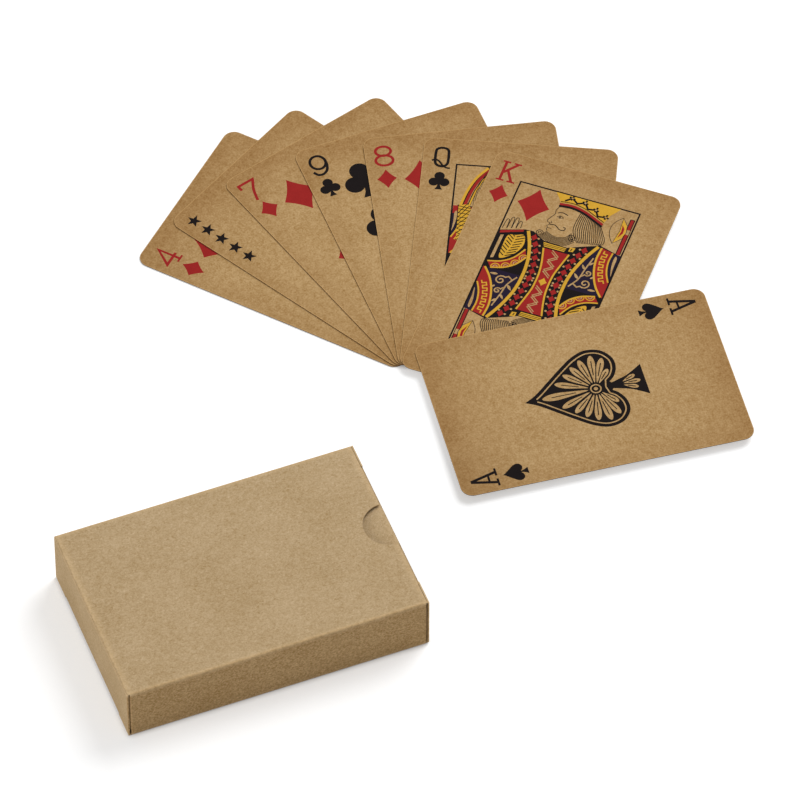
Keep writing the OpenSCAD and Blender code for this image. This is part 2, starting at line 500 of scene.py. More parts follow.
def pressRim(node):
    # the solid keeps its shape; a pressed rim takes the knife edge off
    weld = node.modifiers.new("weld", "WELD")
    weld.merge_threshold = rimSet["merge"]
    bevel = node.modifiers.new("rim", "BEVEL")
    bevel.width = rimSet["width"]
    bevel.segments = rimSet["segments"]
    bevel.limit_method = "ANGLE"
    bevel.angle_limit = math.radians(rimSet["angle"])


places = {nodeName: fanPlace(index) for index, nodeName in enumerate(fanCards)}
places["ace_of_spades"] = acePlace()
bodies = {nodeName: nodeName for nodeName in places}
bodies["four_of_diamonds"] = "fan_base"
for index, (nodeName, place) in enumerate(places.items()):
    dressSolid(nodes[nodeName], cardMaterial(nodeName + "Paper", place, index * cardLook["seedStep"]))
    pressRim(nodes[nodeName])
packPaper = packMaterial()
board = boardMaterial()
for nodeName, node in nodes.items():
    if nodeName.endswith(("_joker", "_in_box")):
        dressSolid(node, packPaper)
    elif nodeName.endswith(("_panel", "_flap", "_lid")):
        dressSolid(node, board)
print("cards and box dressed")


# drawing: outlines in millimetres on a card, origin at its lower left corner
tiny = 1e-6  # a shorter step has no direction
mitreLimit = 0.45


def curvePoint(near, t):
    spot = []
    for a, b, c, d in zip(*near):
        square = 2 * a - 5 * b + 4 * c - d
        cube = 3 * b - a - 3 * c + d
        spot.append(0.5 * (2 * b + (c - a) * t + square * t**2 + cube * t**3))
    return tuple(spot)


def curveThrough(points, closed=False, steps=6):
    # a smooth curve that passes through every point
    count = len(points)
    path = []
    for i in range(count if closed else count - 1):
        picks = range(i - 1, i + 3)
        near = [points[k % count if closed else min(max(k, 0), count - 1)] for k in picks]
        path += [curvePoint(near, step / steps) for step in range(steps)]
    return path if closed else path + [points[-1]]


def unit(step, otherwise):
    return step.normalized() if step.length > tiny else otherwise


def sides(path, width, closed=False):
    # the two edges of a pen line, mitred at its corners
    count = len(path)
    left, right = [], []
    for i, (x, y) in enumerate(path):
        before = path[i - 1] if closed or i else path[0]
        after = path[(i + 1) % count] if closed or i < count - 1 else path[-1]
        first = Vector((x - before[0], y - before[1]))
        second = Vector((after[0] - x, after[1] - y))
        first = unit(first, second.normalized())
        second = unit(second, first)
        along = unit(first + second, first)
        across = Vector((-along.y, along.x))
        reach = width / 2 / max(mitreLimit, along.dot(first))
        left.append((x + across.x * reach, y + across.y * reach))
        right.append((x - across.x * reach, y - across.y * reach))
    return left, right


def circle(u, v, radius, count=14, high=None):
    tall = high or radius
    turns = [math.tau * k / count for k in range(count)]
    return [(u + radius * math.cos(a), v + tall * math.sin(a)) for a in turns]


def fill(outline):
    return ("fill", outline, 0)


def line(path, width):
    return ("line", path, width)


def ring(path, width):
    return ("ring", path, width)


def stroke(points, width):
    return line(curveThrough(points), width)


def shifted(path, du, dv=0.0):
    return [(x + du, y + dv) for x, y in path]


def moved(shapes, du, dv, scale=1.0, flip=False):
    way = -scale if flip else scale
    copies = []
    for kind, path, width in shapes:
        copies.append((kind, [(du + x * way, dv + y * scale) for x, y in path], width * scale))
    return copies


def outlines(shape):
    # a shape as plain counter-clockwise outlines: pen lines go piece by piece
    kind, path, width = shape
    rings = [path]
    if kind != "fill":
        left, right = sides(path, width, kind == "ring")
        count = len(path)
        pairs = [(i, (i + 1) % count) for i in range(count if kind == "ring" else count - 1)]
        rings = [[right[i], right[j], left[j], left[i]] for i, j in pairs]
    turned = []
    for points in rings:
        area = sum(a[0] * b[1] - b[0] * a[1] for a, b in zip(points, points[1:] + points[:1]))
        turned.append(points if area > 0 else points[::-1])
    return turned


def holds(outline, spot):
    # whether the outline winds round the spot
    winds = 0
    for a, b in zip(outline, outline[1:] + outline[:1]):
        if (a.y <= spot.y) != (b.y <= spot.y):
            left = (b.x - a.x) * (spot.y - a.y) - (spot.x - a.x) * (b.y - a.y)
            if (left > 0) == (b.y > a.y):
                winds += 1 if left > 0 else -1
    return winds != 0


# thick, lift and join are in mm: the ink fits in the gap between two cards of the fan
inkSet = {"thick": 0.005, "lift": 0.001, "flat": 0.001, "join": 1e-5, "insideOnly": 1}


def printCard(nodeName, art):
    # later inks cover earlier ones; what card_stock covers stays bare paper
    points, faces, owners = [], [], []
    for slot, doubled, once in art:
        copies = [(shape, turn) for shape in doubled for turn in (False, True)]
        copies += [(shape, False) for shape in once]
        for shape, turn in copies:
            for outline in outlines(shape):
                if turn:
                    outline = [(fanSet["width"] - x, fanSet["length"] - y) for x, y in outline]
                faces.append(list(range(len(points), len(points) + len(outline))))
                points += [Vector(point) for point in outline]
                owners.append(slot)
    cells = delaunay_2d_cdt(points, [], faces, inkSet["insideOnly"], inkSet["join"])
    spots, _, pieces, _, _, fromFaces = cells
    areas = {}
    for corners, covers in zip(pieces, fromFaces):
        centre = sum((spots[i] for i in corners), Vector((0, 0))) / 3
        for cover in sorted(covers, reverse=True):
            if holds(points[faces[cover][0]:faces[cover][-1] + 1], centre):
                areas.setdefault(owners[cover], []).append(corners)
                break
    for slot, triangles in areas.items():
        if slot in inks:
            inkPiece(nodeName, slot, spots, triangles)


def inkPiece(nodeName, slot, spots, triangles):
    name = nodeName + slot.split("_")[0].capitalize() + "Print"
    sheet = bmesh.new()
    used = {i: sheet.verts.new((spots[i].x, spots[i].y, 0)) for corners in triangles for i in corners}
    for corners in triangles:
        sheet.faces.new([used[i] for i in corners])
    bmesh.ops.dissolve_limit(sheet, angle_limit=inkSet["flat"], verts=sheet.verts[:], edges=sheet.edges[:])
    grown = bmesh.ops.extrude_face_region(sheet, geom=sheet.faces[:])
    raised = [part for part in grown["geom"] if isinstance(part, bmesh.types.BMVert)]
    bmesh.ops.translate(sheet, verts=raised, vec=(0, 0, inkSet["thick"]))
    bmesh.ops.translate(sheet, verts=sheet.verts[:], vec=(0, 0, inkSet["lift"]))
    bmesh.ops.recalc_face_normals(sheet, faces=sheet.faces[:])
    bmesh.ops.transform(sheet, verts=sheet.verts[:], matrix=places[nodeName] @ Matrix.Scale(mm, 4))
    piece = addSheet(name, sheet, inks[slot])
    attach(piece, bodies[nodeName])


# index letters and numbers in a 5.8 x 7.8 mm box, with finer pens for feet and tails
pen = 0.84
serif = 0.6
fineSerif = 0.55
tail = 0.62
roundSides = 28
sevenFoot = curveThrough([(5.3, 6.9), (3.4, 3.8), (2.0, -0.2)])
queenBowl = [
    (1.1, 2.2), (1.1, 6.2), (1.7, 7.35), (3.0, 7.7), (4.3, 7.35),
    (4.9, 6.2), (4.9, 2.2), (4.2, 0.9), (3.0, 0.5), (1.8, 0.9),
]
indexSigns = {
    "4": [
        line([(4.3, 0.2), (4.3, 7.5), (0.45, 2.45), (5.6, 2.45)], pen),
        line([(2.9, 0.3), (5.7, 0.3)], serif),
    ],
    "7": [line([(0.35, 5.6), (0.35, 7.35), (5.5, 7.35)] + sevenFoot, pen)],
    "9": [
        ring(circle(2.95, 5.1, 2.35, roundSides, 2.55), pen),
        stroke([(5.3, 5.6), (5.25, 3.4), (4.5, 1.4), (3.0, 0.35), (1.5, 0.55), (0.45, 1.9)], pen),
    ],
    "8": [
        ring(circle(2.9, 5.75, 2.3, roundSides, 1.8), pen),
        ring(circle(2.9, 2.15, 2.6, roundSides, 1.95), pen),
    ],
    "Q": [
        ring(curveThrough(queenBowl, True), pen),
        stroke([(0.1, 2.6), (1.2, 3.0), (2.4, 2.3), (3.4, 0.9), (4.5, 0.1), (5.7, -0.1)], tail),
    ],
    "K": [
        line([(1.25, 0.3), (1.25, 7.5)], pen),
        line([(0.1, 7.5), (2.5, 7.5)], fineSerif),
        line([(0.1, 0.3), (2.5, 0.3)], fineSerif),
        line([(4.9, 7.4), (1.5, 3.3)], pen),
        line([(2.5, 4.6), (4.8, 0.4)], pen),
        line([(3.6, 7.5), (5.9, 7.5)], fineSerif),
        line([(3.5, 0.3), (5.9, 0.3)], fineSerif),
    ],
    "A": [
        line([(1.1, 0.3), (2.75, 7.7)], pen),
        line([(4.75, 0.3), (2.85, 7.7)], pen),
        line([(1.6, 2.6), (4.1, 2.6)], serif),
        line([(-0.1, 0.3), (2.4, 0.3)], serif),
        line([(3.5, 0.3), (6.0, 0.3)], serif),
    ],
}
indexSpot = (2.7, 76.6)


def indexAt(sign):
    return moved(indexSigns[sign], *indexSpot)


# pips
diamondSet = {"bow": 0.40, "steps": 8}
clubSet = {
    "lobes": [(0, 1.72), (-1.56, -0.62), (1.56, -0.62)],
    "radius": 1.55,
    "lobeSides": 26,
    "heart": [(-1.0, 0.1), (0, -1.2), (1.0, 0.1), (0, 1.0)],
    "stemHalf": [(0.3, 0.9), (0.2, -0.9), (0.55, -2.4), (1.15, -3.5)],
}
spadeHalf = [
    (0, 17.8), (2.0, 14.2), (5.6, 9.8), (9.6, 5.0), (13.0, 0.4), (14.6, -4.0),
    (13.6, -8.4), (10.2, -11.2), (6.4, -11.4), (3.2, -9.9), (1.5, -8.0),
]
spadeStem = [(1.1, -8.6), (1.7, -10.6), (2.9, -14.0), (5.7, -18.5)]
starSet = {
    "points": 5, "inner": 0.42,
    "spot": (5.0, 82.6), "step": 5.3, "count": 5,
    "small": 2.3, "large": 11,
}


def diamondPip(u, v, wide, tall):
    # four sides that bow in
    tips = [(0, tall), (wide, 0), (0, -tall), (-wide, 0)]
    path = []
    for first, second in zip(tips, tips[1:] + tips[:1]):
        pull = [(a + b) * diamondSet["bow"] for a, b in zip(first, second)]
        for step in range(diamondSet["steps"]):
            t = step / diamondSet["steps"]
            axes = zip(first, second, pull)
            path.append(tuple((1 - t)**2 * a + 2 * t * (1 - t) * c + t**2 * b for a, b, c in axes))
    return [fill(shifted(path, u, v))]


def clubPip(u, v, scale):
    half = clubSet["stemHalf"]
    shapes = [fill(circle(x, y, clubSet["radius"], clubSet["lobeSides"])) for x, y in clubSet["lobes"]]
    shapes += [fill(clubSet["heart"]), fill([(-x, y) for x, y in half] + half[::-1])]
    return moved(shapes, u, v, scale)


def spadeOutline(scale):
    half = curveThrough(spadeHalf)[:-1] + curveThrough(spadeStem)
    right = [(x * scale, y * scale) for x, y in half]
    return right + [(-x, y) for x, y in right[:0:-1]]


def spadePip(u, v, scale):
    return moved([fill(spadeOutline(scale))], u, v)


def starPip(u, v, reach):
    count = 2 * starSet["points"]
    path = []
    for k in range(count):
        angle = math.pi / 2 + math.tau * k / count
        radius = reach * (starSet["inner"] if k % 2 else 1.0)
        path.append((u + radius * math.cos(angle), v + radius * math.sin(angle)))
    return [fill(path)]


# number cards: each has its suit, the pips drawn at both ends and those drawn once
suits = {
    "diamond": {"ink": "red_ink", "pip": diamondPip, "small": (5.5, 71.6, 2.95, 3.6), "large": (5.4, 6.8)},
    "club": {"ink": "black_ink", "pip": clubPip, "small": (5.6, 71.6, 1.0), "large": (1.95,)},
}
columns = {"left": 16.0, "middle": 29.0, "right": 42.0}
rows = {"top": 70.8, "high": 57.4, "second": 53.0, "middle": 44.0}
topPair = [("left", "top"), ("right", "top")]
secondPair = [("left", "second"), ("right", "second")]
middlePair = [("left", "middle"), ("right", "middle")]
numberCards = {
    "four_of_diamonds": ("4", "diamond", topPair, []),
    "seven_of_diamonds": ("7", "diamond", topPair, middlePair + [("middle", "high")]),
    "eight_of_diamonds": ("8", "diamond", topPair + [("middle", "high")], middlePair),
    "nine_of_clubs": ("9", "club", topPair + secondPair, [("middle", "middle")]),
}


def indexPip(suit):
    return suit["pip"](*suit["small"])


def largePips(suit, spots):
    shapes = []
    for column, row in spots:
        shapes += suit["pip"](columns[column], rows[row], *suit["large"])
    return shapes


for nodeName, (sign, suitName, paired, single) in numberCards.items():
    suit = suits[suitName]
    doubled = indexAt(sign) + indexPip(suit) + largePips(suit, paired)
    printCard(nodeName, [(suit["ink"], doubled, largePips(suit, single))])
stars = []
for k in range(starSet["count"]):
    u, v = starSet["spot"]
    stars += starPip(u, v - k * starSet["step"], starSet["small"])
printCard("joker_card", [("black_ink", stars, starPip(*cardMiddle, starSet["large"]))])
print("number cards printed")


# ornament helpers
leafHalf = [(0.0, 0.0), (0.3, 0.5), (0.7, 0.4), (1.0, 0.0)]
petalHalf = [(0.0, 0.0), (0.35, 0.30), (0.68, 0.5), (0.90, 0.36), (1.0, 0.0)]
leafSteps = 3
curlSet = {"steps": 14, "inward": 0.86}


def paced(path, gap):
    # points at even steps along a path, with the way it runs
    spots = []
    wanted = gap / 2
    run = 0.0
    for (x0, y0), (x1, y1) in zip(path, path[1:]):
        length = math.hypot(x1 - x0, y1 - y0)
        while length > tiny and run + length >= wanted:
            t = (wanted - run) / length
            spots.append((x0 + (x1 - x0) * t, y0 + (y1 - y0) * t, math.atan2(y1 - y0, x1 - x0)))
            wanted += gap
        run += length
    return spots


def leaf(u, v, angle, length, width, half=leafHalf):
    # half of its outline runs from the stalk to the tip, in shares of its length and width
    shape = half + [(x, -y) for x, y in half[-2:0:-1]]
    shape = curveThrough([(length * x, width * y) for x, y in shape], True, leafSteps)
    c, s = math.cos(angle), math.sin(angle)
    return fill([(u + x * c - y * s, v + x * s + y * c) for x, y in shape])


def curl(u, v, radius, turns, start=0.0, flip=1):
    # a spiral that winds inwards
    count = int(turns * curlSet["steps"])
    path = []
    for k in range(count + 1):
        angle = start + flip * math.tau * turns * k / count
        reach = radius * (1 - curlSet["inward"] * k / count)
        path.append((u + reach * math.cos(angle), v + reach * math.sin(angle)))
    return path


def wave(path, reach, pitch, square=False):
    # a zigzag or a square wave along a path
    points = []
    for k, (x, y, way) in enumerate(paced(path, pitch)):
        side = reach if k % 2 else -reach
        c, s = math.cos(way), math.sin(way)
        for along in ((-pitch / 2, pitch / 2) if square else (0.0,)):
            points.append((x + c * along - s * side, y + s * along + c * side))
    return points


def between(first, second, share):
    return [(a + (c - a) * share, b + (d - b) * share) for (a, b), (c, d) in zip(first, second)]


def strands(first, second, count, width):
    front = curveThrough(first)
    rear = curveThrough(second)
    return [line(between(front, rear, k / (count - 1)), width) for k in range(count)]


# the ace: its index, and one large spade with a contour line round a fan of long leaves
aceLook = {
    "inset": 1.3,
    "contour": 0.42,
    "notch": -6.6,
    "rib": 0.3,
    "ribShares": (0.28, 0.8),
    "leafGap": 0.7,  # from the boss to the stalks
    "leafWidth": (0.7, 0.12),  # and what each mm of reach adds
    "bossSides": 24,
    "eyeShare": 0.42,
    "index": (1.7, 76.5, 1.06),
    "pip": (5.0, 71.2, 0.21),
}
spadeLeaves = {
    "root": -3.6,
    "boss": 1.5,
    "leaves": [  # angle and reach
        (90, 16.2), (68, 12.2), (48, 10.9), (29, 10.9),
        (11, 11.7), (-7, 12.4), (-23.5, 11.6), (-40, 8.2),
    ],
}
stemLeaves = {"root": -10.2, "boss": 1.1, "leaves": [(-90, 6.9), (-68, 6.2)]}


def leafFan(spec):
    # one half of a fan of ribbed leaves: bare leaves, dark ribs
    leaves, ribs = [], []
    start = spec["boss"] + aceLook["leafGap"]
    narrow, growth = aceLook["leafWidth"]
    for angle, reach in spec["leaves"]:
        way = math.radians(angle)
        c, s = math.cos(way), math.sin(way)
        u, v = start * c, spec["root"] + start * s
        span = reach - start
        leaves.append(leaf(u, v, way, span, narrow + growth * reach, petalHalf))
        rib = [(u + share * span * c, v + share * span * s) for share in aceLook["ribShares"]]
        ribs.append(line(rib, aceLook["rib"]))
    return leaves, ribs


def acePrint():
    inner = sides(curveThrough(spadeHalf), aceLook["inset"] * 2)[1]
    contour = [(x, y) for x, y in inner if x > aceLook["contour"] / 2] + [(0, aceLook["notch"])]
    body, foot = leafFan(spadeLeaves), leafFan(stemLeaves)
    right = [line(contour, aceLook["contour"])] + body[0] + foot[0]
    bare = right + moved(right, 0, 0, flip=True)
    root, boss = spadeLeaves["root"], spadeLeaves["boss"]
    bare += [ring(circle(0, root, boss, aceLook["bossSides"]), aceLook["contour"])]
    bare += [fill(circle(0, root, boss * aceLook["eyeShare"]))]
    ribs = body[1] + foot[1]
    ribs += moved(ribs, 0, 0, flip=True)
    index = moved(indexSigns["A"], *aceLook["index"]) + spadePip(*aceLook["pip"])
    printCard("ace_of_spades", [
        ("black_ink", index, spadePip(*cardMiddle, 1.0)),
        ("card_stock", [], moved(bare, *cardMiddle)),
        ("black_ink", [], moved(ribs, *cardMiddle)),
    ])


acePrint()
print("ace printed")


# court cards: one half drawn in the old two-headed style, the other half turned round
courtFrame = ([(10.3, 9.8), (47.7, 9.8), (47.7, 78.2), (10.3, 78.2)], 0.5)
robeCurves = {
    "leftStripe": [(18.7, 61.0), (20.6, 56.4), (22.0, 51.5), (22.55, 47.0), (22.6, 44.0)],
    "rightStripe": [(40.2, 62.2), (37.9, 57.0), (36.2, 51.5), (35.5, 47.0), (35.4, 44.0)],
    "leftBand": [(20.6, 60.4), (22.9, 55.4), (24.2, 50.4), (24.75, 46.6), (24.8, 42.6)],
    "rightBand": [(37.3, 60.6), (35.0, 55.4), (33.9, 50.4), (33.3, 46.6), (33.2, 42.6)],
    "leftTrim": [(25.0, 56.4), (26.2, 51.5), (26.85, 47.5), (27.0, 44.0)],
    "rightTrim": [(33.0, 56.4), (31.9, 51.5), (31.15, 47.5), (31.0, 44.0)],
    "sleeveInner": [(41.3, 62.1), (41.1, 57.2), (42.2, 52.0), (44.2, 47.6), (46.9, 44.1)],
    "sleeveOuter": [(45.0, 61.3), (44.8, 57.6), (45.6, 53.6), (47.2, 50.2)],
    "cuffUpper": [(11.0, 46.2), (14.8, 47.4), (18.0, 50.0), (20.2, 54.0)],
    "cuffLower": [(12.6, 44.1), (16.4, 45.4), (19.4, 47.8), (21.4, 51.2)],
}
yellowPens = {
    "leftStripe": 1.0, "rightStripe": 1.0, "leftTrim": 0.55, "rightTrim": 0.55,
    "cuffUpper": 0.5, "cuffLower": 0.55, "sleeveInner": 0.62, "sleeveOuter": 0.5,
}
robePatches = {
    "ground": [
        (10.5, 44), (10.5, 58.6), (17.6, 61.2), (20.2, 61.4), (24.3, 59.0), (31.6, 58.7),
        (34.2, 60.0), (40.6, 62.8), (44.2, 61.8), (47.5, 60.8), (47.5, 44),
    ],
    "sleeveCorner": [(47.5, 61.0)],
    "sleeveEnd": [(47.4, 44.0), (47.4, 50.2)],
    "shoulder": [(10.8, 57.5), (17.4, 60.2), (17.3, 61.0), (10.8, 58.5)],
    "collar": [(24.9, 56.9), (31.2, 56.9), (31.5, 58.4), (24.3, 58.5)],
    "clasp": [(32.3, 57.5), (33.7, 57.7), (34.0, 59.4), (32.4, 59.2)],
    "armlet": [
        (13.5, 57.3), (15.8, 58.3), (18.0, 59.0), (19.1, 56.2),
        (18.6, 53.2), (16.8, 50.4), (13.9, 48.4), (13.3, 52.5),
    ],
    "lining": [(11.3, 47.6), (12.2, 48.0), (12.3, 57.2), (11.4, 56.9)],
    "slash": [(46.1, 60.3), (46.0, 57.6), (46.6, 54.4), (47.2, 52.6), (46.9, 56.0), (46.8, 59.6)],
    "slashSteps": 3,
}
bandSet = {"pitch": 2.62, "pip": (1.12, 1.36), "dotReach": 1.18, "dot": 0.36, "dotSides": 9}
sleeveKey = {"share": 0.5, "reach": 0.62, "pitch": 1.05, "pen": 0.4}
zigzagSet = {"top": 57.0, "foot": 45.2, "shifts": (-0.4, 0.4), "reach": 1.2, "pitch": 1.95, "pen": 0.32}
scallopSet = {"share": 0.9, "pitch": 3.1, "bare": 0.62, "yellow": 1.3, "steps": 10, "pen": 0.34}
vineSet = {
    "stem": ([(36.6, 44.9), (38.5, 48.4), (39.2, 52.6), (40.2, 57.6)], 0.46),
    "curls": [  # stalk, spiral, pen
        ([(37.6, 46.4), (39.0, 45.5)], (40.9, 47.5, 1.75, 1.35, -2.2), 0.46),
        ([(38.7, 49.6), (39.4, 50.2)], (40.5, 51.6, 1.15, 1.25, -2.3), 0.42),
    ],
    "leaves": [  # stalk, angle, length, width
        (38.3, 48.6, 2.3, 2.3, 0.85), (39.1, 52.6, 2.2, 2.0, 0.75), (39.6, 54.6, 0.8, 1.9, 0.75),
        (42.4, 45.6, 0.1, 2.4, 0.8), (41.8, 49.8, 0.9, 1.4, 0.6),
    ],
}
collarLines = [
    ([(24.7, 57.4), (31.3, 57.4)], 0.2),
    ([(24.6, 57.95), (31.4, 57.95)], 0.2),
    ([(32.9, 57.9), (33.1, 58.9)], 0.3),
]
veinSet = {
    "spine": [(15.9, 58.2), (15.7, 54.0), (14.9, 49.6)],
    "pitch": 1.15,
    "sides": [(0.25, 2.7, 1.5), (-0.25, -2.0, 1.3)],  # start across, end across and up
    "pen": 0.34,
}
beltGem = (1.35, 1.6)


def bandArt(path):
    # red diamonds in a row, with a bare dot on each side between them
    diamonds, dots = [], []
    for x, y, _ in paced(path, bandSet["pitch"]):
        diamonds += diamondPip(x, y, *bandSet["pip"])
    for x, y, way in paced(path, bandSet["pitch"] / 2)[1::2]:
        for reach in (-bandSet["dotReach"], bandSet["dotReach"]):
            spot = (x - reach * math.sin(way), y + reach * math.cos(way))
            dots.append(fill(circle(*spot, bandSet["dot"], bandSet["dotSides"])))
    return diamonds, dots


def scallops(path, radius):
    shapes = []
    for x, y, way in paced(path, scallopSet["pitch"]):
        turns = [way + math.pi * k / scallopSet["steps"] for k in range(scallopSet["steps"] + 1)]
        arc = [(x + radius * math.cos(a), y + radius * math.sin(a)) for a in turns]
        shapes.append(line(arc, scallopSet["pen"]))
    return shapes


def robeArt():
    paths = {key: curveThrough(points) for key, points in robeCurves.items()}
    blackUnder = [fill(robePatches["ground"])]
    navy = [
        fill(paths["rightStripe"] + paths["sleeveInner"][::-1]),
        fill(paths["sleeveOuter"] + robePatches["sleeveCorner"]),
    ]
    red = [
        fill(paths["leftTrim"] + paths["rightTrim"][::-1]),
        fill(paths["cuffUpper"] + paths["cuffLower"][::-1]),
        fill(robePatches["shoulder"]),
        fill(paths["sleeveInner"] + robePatches["sleeveEnd"] + paths["sleeveOuter"][::-1]),
    ]
    bare = []
    for key in ("leftBand", "rightBand"):
        diamonds, dots = bandArt(paths[key])
        red += diamonds
        bare += dots
    sleeveMiddle = between(paths["sleeveInner"], paths["sleeveOuter"], sleeveKey["share"])[1:]
    yellow = [line(paths[key], width) for key, width in yellowPens.items()]
    yellow += [line(wave(sleeveMiddle, sleeveKey["reach"], sleeveKey["pitch"], True), sleeveKey["pen"])]
    yellow += [fill(robePatches["collar"]), fill(robePatches["clasp"])]
    yellow += [fill(curveThrough(robePatches["armlet"], True))]
    for shift in zigzagSet["shifts"]:
        drop = [(cardMiddle[0], zigzagSet[end] + shift) for end in ("top", "foot")]
        bare += [line(wave(drop, zigzagSet["reach"], zigzagSet["pitch"]), zigzagSet["pen"])]
    bare += [fill(robePatches["lining"])]
    cuffMiddle = between(paths["cuffUpper"], paths["cuffLower"], scallopSet["share"])
    bare += scallops(cuffMiddle, scallopSet["bare"])
    yellow += scallops(cuffMiddle, scallopSet["yellow"])
    bare += [stroke(*vineSet["stem"])]
    bare += [line(stalk + curl(*spiral), width) for stalk, spiral, width in vineSet["curls"]]
    bare += [leaf(*spec) for spec in vineSet["leaves"]]
    bare += [fill(curveThrough(robePatches["slash"], True, robePatches["slashSteps"]))]
    blackOver = [line(*spec) for spec in collarLines]
    for x, y, _ in paced(curveThrough(veinSet["spine"]), veinSet["pitch"]):
        for start, across, up in veinSet["sides"]:
            blackOver += [line([(x + start, y), (x + across, y + up)], veinSet["pen"])]
    return blackUnder, navy, red, yellow, bare, blackOver, diamondPip(*cardMiddle, *beltGem)


# lines are (outline, pen), crown bands (height above its lower edge, pen)
kingSet = {
    "crownLow": [(24.0, 74.6), (28.0, 75.0), (32.0, 74.2), (35.6, 72.6), (38.6, 71.2)],
    "crownTop": [(39.6, 74.6), (41.9, 78.0), (21.6, 78.0), (23.3, 75.8)],
    "rim": (-1.42, 0.85),
    "redBand": (-0.62, 0.75),
    "edge": (0.35, 0.3),
    "crest": (1.55, 0.62),
    "crestWave": (0.72, 2.0),
    "crosses": [((-0.95, 0.25), (0.95, -0.25)), ((-0.2, -0.9), (0.25, 1.1))],
    "crossPen": 0.6,
    "stud": 0.36,
    "studSides": 10,
    "darkStaff": ([(46.45, 61.2), (46.45, 75.4)], 1.5),
    "redStaff": ([(46.45, 61.2), (46.45, 75.2)], 0.95),
    "pip": (16.8, 70.8, 5.0, 6.4),
    "axe": [(43.7, 74.9), (45.6, 72.4), (46.0, 70.0), (45.5, 67.6), (43.5, 65.0), (44.2, 70.0)],
    "blade": [(44.2, 72.6), (45.2, 71.2), (45.3, 69.4), (44.2, 67.2), (44.6, 70.0)],
    "socket": [(45.9, 69.3), (47.0, 69.3), (47.0, 71.2), (45.9, 71.2)],
    "axeBack": ([(43.6, 75.2), (41.7, 72.6), (41.2, 70.0), (41.8, 67.4), (43.4, 64.8)], 0.18),
    "axeLine": (
        [(43.7, 75.1), (45.8, 72.5), (46.15, 70.0), (45.7, 67.4), (43.45, 64.8), (44.1, 70.0)],
        0.16,
    ),
    "hair": (
        [(31.2, 73.0), (30.8, 69.4), (31.0, 65.8), (32.4, 62.9), (33.8, 61.4)],
        [(38.4, 69.6), (39.6, 67.6), (40.9, 65.4), (41.1, 63.6), (40.3, 62.7)],
        16, 0.24,
    ),
    "beard": (
        [(31.0, 64.4), (29.6, 62.2), (26.6, 61.5), (23.6, 62.7)],
        [(32.8, 61.4), (30.4, 59.3), (26.0, 58.9), (22.2, 60.4)],
        8, 0.22,
    ),
    "curls": [(21.9, 61.5, 1.25, 1.9, -0.4), (31.6, 62.4, 1.35, 1.9, 2.6, -1)],
    "curlPen": 0.24,
    "fingerRoot": (11.5, 59.5),
    "fingerStep": (1.3, 0.42),
    "fingerTips": (63.4, 64.5, 64.7, 63.8),
    "finger": [  # across, from its root or tip, up
        (-0.5, "root", 0.0), (-0.3, "tip", -0.7), (0.15, "tip", 0.0),
        (0.6, "tip", -0.7), (0.7, "root", 0.4),
    ],
    "fingerPen": 0.22,
}
kingProfile = [
    (24.4, 73.0), (23.8, 71.3), (24.0, 69.9), (23.3, 68.4), (22.6, 66.9), (22.9, 66.3),
    (23.7, 66.1), (23.4, 65.2), (23.1, 64.7), (23.6, 64.2), (23.3, 63.7), (23.8, 63.0),
]
kingFace = {  # calm, in profile, with brow, nose and chin at even thirds
    "profile": (kingProfile, 0.2),
    "upperLid": ([(24.9, 69.1), (25.8, 69.6), (26.9, 69.1)], 0.22),
    "lowerLid": ([(25.0, 69.0), (25.9, 68.65), (26.8, 69.0)], 0.14),
    "eye": (25.75, 69.12, 0.3, 10),
    "brow": ([(24.7, 70.5), (26.0, 71.0), (27.8, 70.5)], 0.3),
    "nostril": ([(23.7, 66.8), (24.1, 66.5), (23.9, 66.2)], 0.18),
    "mouth": ([(23.6, 64.2), (24.8, 64.1)], 0.16),
    "moustache": ([(23.7, 65.5), (25.4, 65.7), (27.2, 64.5), (28.5, 64.7), (28.6, 65.6), (27.9, 65.7)], 0.3),
}


def crownBand(low, key):
    height, width = kingSet[key]
    return line(shifted(low, 0.0, height), width)


def kingHead():
    low = curveThrough(kingSet["crownLow"])
    under = [crownBand(low, "rim"), line(*kingSet["darkStaff"])]
    red = [crownBand(low, "redBand"), line(*kingSet["redStaff"])] + diamondPip(*kingSet["pip"])
    yellow = [fill(low + kingSet["crownTop"]), fill(kingSet["axe"])]
    redOver = [fill(kingSet["blade"])]
    bare = [fill(kingSet["socket"])]
    height, width = kingSet["crest"]
    crest = wave(shifted(low, 0.0, height), *kingSet["crestWave"])
    over = [line(crest, width)]
    studs = []
    for spot in crest[1::2]:
        for ends in kingSet["crosses"]:
            over += [line(shifted(ends, *spot), kingSet["crossPen"])]
        studs += [fill(circle(*spot, kingSet["stud"], kingSet["studSides"]))]
    over += [crownBand(low, "edge"), stroke(*kingSet["axeBack"]), ring(*kingSet["axeLine"])]
    over += [stroke(*kingFace[key]) for key in ("profile", "upperLid", "lowerLid")]
    over += [fill(circle(*kingFace["eye"])), stroke(*kingFace["brow"]), stroke(*kingFace["nostril"])]
    over += [line(*kingFace["mouth"]), stroke(*kingFace["moustache"])]
    over += strands(*kingSet["hair"]) + strands(*kingSet["beard"])
    over += [line(curl(*spiral), kingSet["curlPen"]) for spiral in kingSet["curls"]]
    for k, tip in enumerate(kingSet["fingerTips"]):
        u, root = [start + step * k for start, step in zip(kingSet["fingerRoot"], kingSet["fingerStep"])]
        level = {"root": root, "tip": tip}
        path = [(u + across, level[end] + up) for across, end, up in kingSet["finger"]]
        over += [stroke(path, kingSet["fingerPen"])]
    return under, red, yellow, redOver, bare, over, studs


